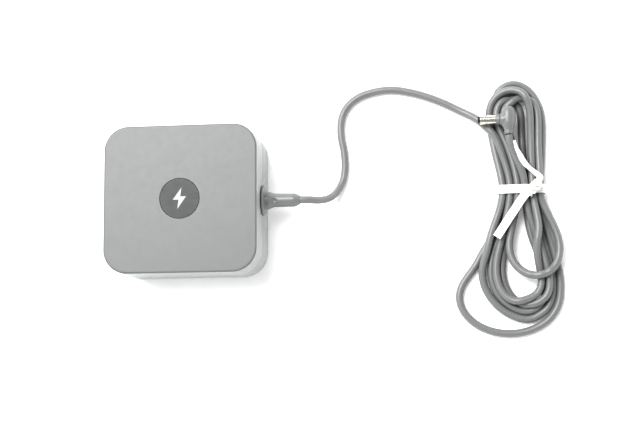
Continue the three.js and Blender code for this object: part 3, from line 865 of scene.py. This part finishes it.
def twist_tie(points):
    """The band round the waist, the short twist of its two ends, and their tails."""
    near = (np.abs(points[:, 1] - TIE_Y) < TIE_WIDTH / 2) & (points[:, 0] > PLUG_TIP_X)
    loop = wrap_round(points[near][:, [0, 2]], CORD_R + TIE_T, 96)
    top = loop[:, 1].max()
    stations = [((x, TIE_Y, max(z, TIE_T)), (0, 1, 0)) for x, z in loop]
    pieces = [ribbon("tie_band", stations, TIE_WIDTH, TIE_T, TIE_RIB, closed=True)]
    over = top + 0.3
    for name, phase in (("tie_twist_line", 0), ("tie_twist_cross", math.pi / 2)):
        pieces.append(ribbon(name, twist_stations(over + TWIST_R, phase), 2 * TWIST_R, TIE_T, TIE_RIB))
    for name, tail in (("tie_tail_up", TAIL_UP), ("tie_tail_down", TAIL_DOWN)):
        controls = [(x, y, over + rise, *across) for x, y, rise, *across in tail]
        pieces.append(ribbon(name, smooth_stations(controls, 8), TIE_WIDTH - 0.2, TIE_T, TIE_RIB))
    for number, piece in enumerate(pieces):
        place(piece, ["hank_tie"] if number == 0 else [], WHITE)
    return pieces


# ---- Plug ----------------------------------------------------------------------------------------------


def plug_grip():
    """The rounded grip along Y with the boss that carries the barrel, as one moulding."""
    x, y, z = PLUG_AT
    grip_outline = [(0, -GRIP_DOWN), (1.75, -GRIP_DOWN), (1.9, -6.8), (1.95, -5.2), (2.4, -4.4), (3.05, -2.6),
                    (GRIP_R, 0), (3.05, 2.6), (2.3, 4.3), (1.2, 4.9), (0, GRIP_UP)]
    grip = lathe("plug_body_fine", dense(rounded(grip_outline, 0.8), 0.3), (x, y, z), "Y", 72)
    neck = [(0, 0), (2.45, 0), (2.6, 0.3), (2.9, 1.5), (3.0, 3.0), (0, 3.0)]
    boss = lathe("plug_boss", dense(neck, 0.3), (BOSS_X, PLUG_BARREL_Y, z), segments=64)
    join = grip.modifiers.new("join", "BOOLEAN")
    join.operation = "UNION"
    join.solver = "EXACT"
    join.object = boss
    apply_modifiers(grip)
    bpy.data.objects.remove(boss)
    even = grip.modifiers.new("even", "REMESH")
    even.mode = "VOXEL"
    even.voxel_size = 0.13 * MM
    even.use_smooth_shade = True
    soft = grip.modifiers.new("soft", "SMOOTH")
    soft.iterations = 6
    apply_modifiers(grip, 60)
    return place(grip, ["plug_body"], JACKET)


def plug():
    """The grip, and the barrel along X with its collar, sleeve, liner and centre pin."""
    z = PLUG_AT[2]
    pieces = [plug_grip()]
    collar = rounded([(0, 0), (2.0, 0), (2.15, 0.15), (2.35, 1.6), (0, 1.6)], 0.15)
    collar = lathe("plug_collar_fine", collar, (BARREL_END_X + 0.1, PLUG_BARREL_Y, z))
    pieces.append(place(collar, ["plug_collar"], JACKET))
    lip = 0.9
    length = BARREL_END_X - PLUG_TIP_X
    tube = [(1.5, lip), (1.85, lip), (BARREL_R, lip + 0.15), (BARREL_R, 3.2), (1.8, 3.35), (1.8, 3.85),
            (BARREL_R, 4), (BARREL_R, length), (1.5, length)]
    at = (PLUG_TIP_X, PLUG_BARREL_Y, z)
    sleeve = lathe("plug_sleeve_fine", tube, at, closed=True)
    pieces.append(place(sleeve, ["plug_sleeve"], NICKEL))
    bore = [(0.95, 0.1), (1.1, 0), (1.3, 0), (1.42, 0.12), (1.42, length - 0.3), (0.95, length - 0.3)]
    liner = lathe("plug_liner_fine", bore, at, closed=True)
    pieces.append(place(liner, ["plug_liner"], BLACK))
    contact = rounded([(0, 1), (0.3, 1), (0.5, 1.5), (0.5, length - 0.3), (0, length - 0.3)], 0.2)
    pin = lathe("plug_pin_fine", contact, at, segments=32)
    pieces.append(place(pin, ["plug_pin"], NICKEL))
    return pieces


bottom_housing()
top_cover()
emblem()
rating_label()
mains_inlet()
relief = strain_relief()
ties = twist_tie(cord_points)
plug_pieces = plug()

# ---- Inner pieces --------------------------------------------------------------------------------------
INNER = {
    "insulation_paper": ((0.25, 0.26, 0.22), 0.8, 0.0), "board_laminate": ((0.02, 0.1, 0.035), 0.4, 0.0),
    "aluminium_sheet": ((0.7, 0.71, 0.73), 0.38, 1.0), "fuse_ceramic": ((0.8, 0.77, 0.7), 0.5, 0.0),
    "green_coating": ((0.04, 0.14, 0.06), 0.35, 0.0), "yellow_case": ((0.6, 0.42, 0.05), 0.35, 0.0),
    "ferrite": ((0.04, 0.04, 0.045), 0.7, 0.0), "copper_wire": ((0.72, 0.32, 0.14), 0.3, 1.0),
    "blue_coating": ((0.02, 0.07, 0.25), 0.3, 0.0), "red_wire": ((0.4, 0.02, 0.015), 0.4, 0.0),
    "black_plastic": ((0.012, 0.012, 0.014), 0.45, 0.0), "white_plastic": ((0.85, 0.85, 0.82), 0.4, 0.0),
}


def finish_inner_nodes():
    slots = {row["node"]: row["material_slot"] for row in frame["record"]["subparts"]}
    made = {name: material("inner_" + name, colour, rough, metallic, grain=0.008)
            for name, (colour, rough, metallic) in INNER.items()}
    for node, obj in frame["nodes"].items():
        if not obj.hide_render:
            obj.data.materials.clear()
            obj.data.materials.append(made[slots[node]])


finish_inner_nodes()
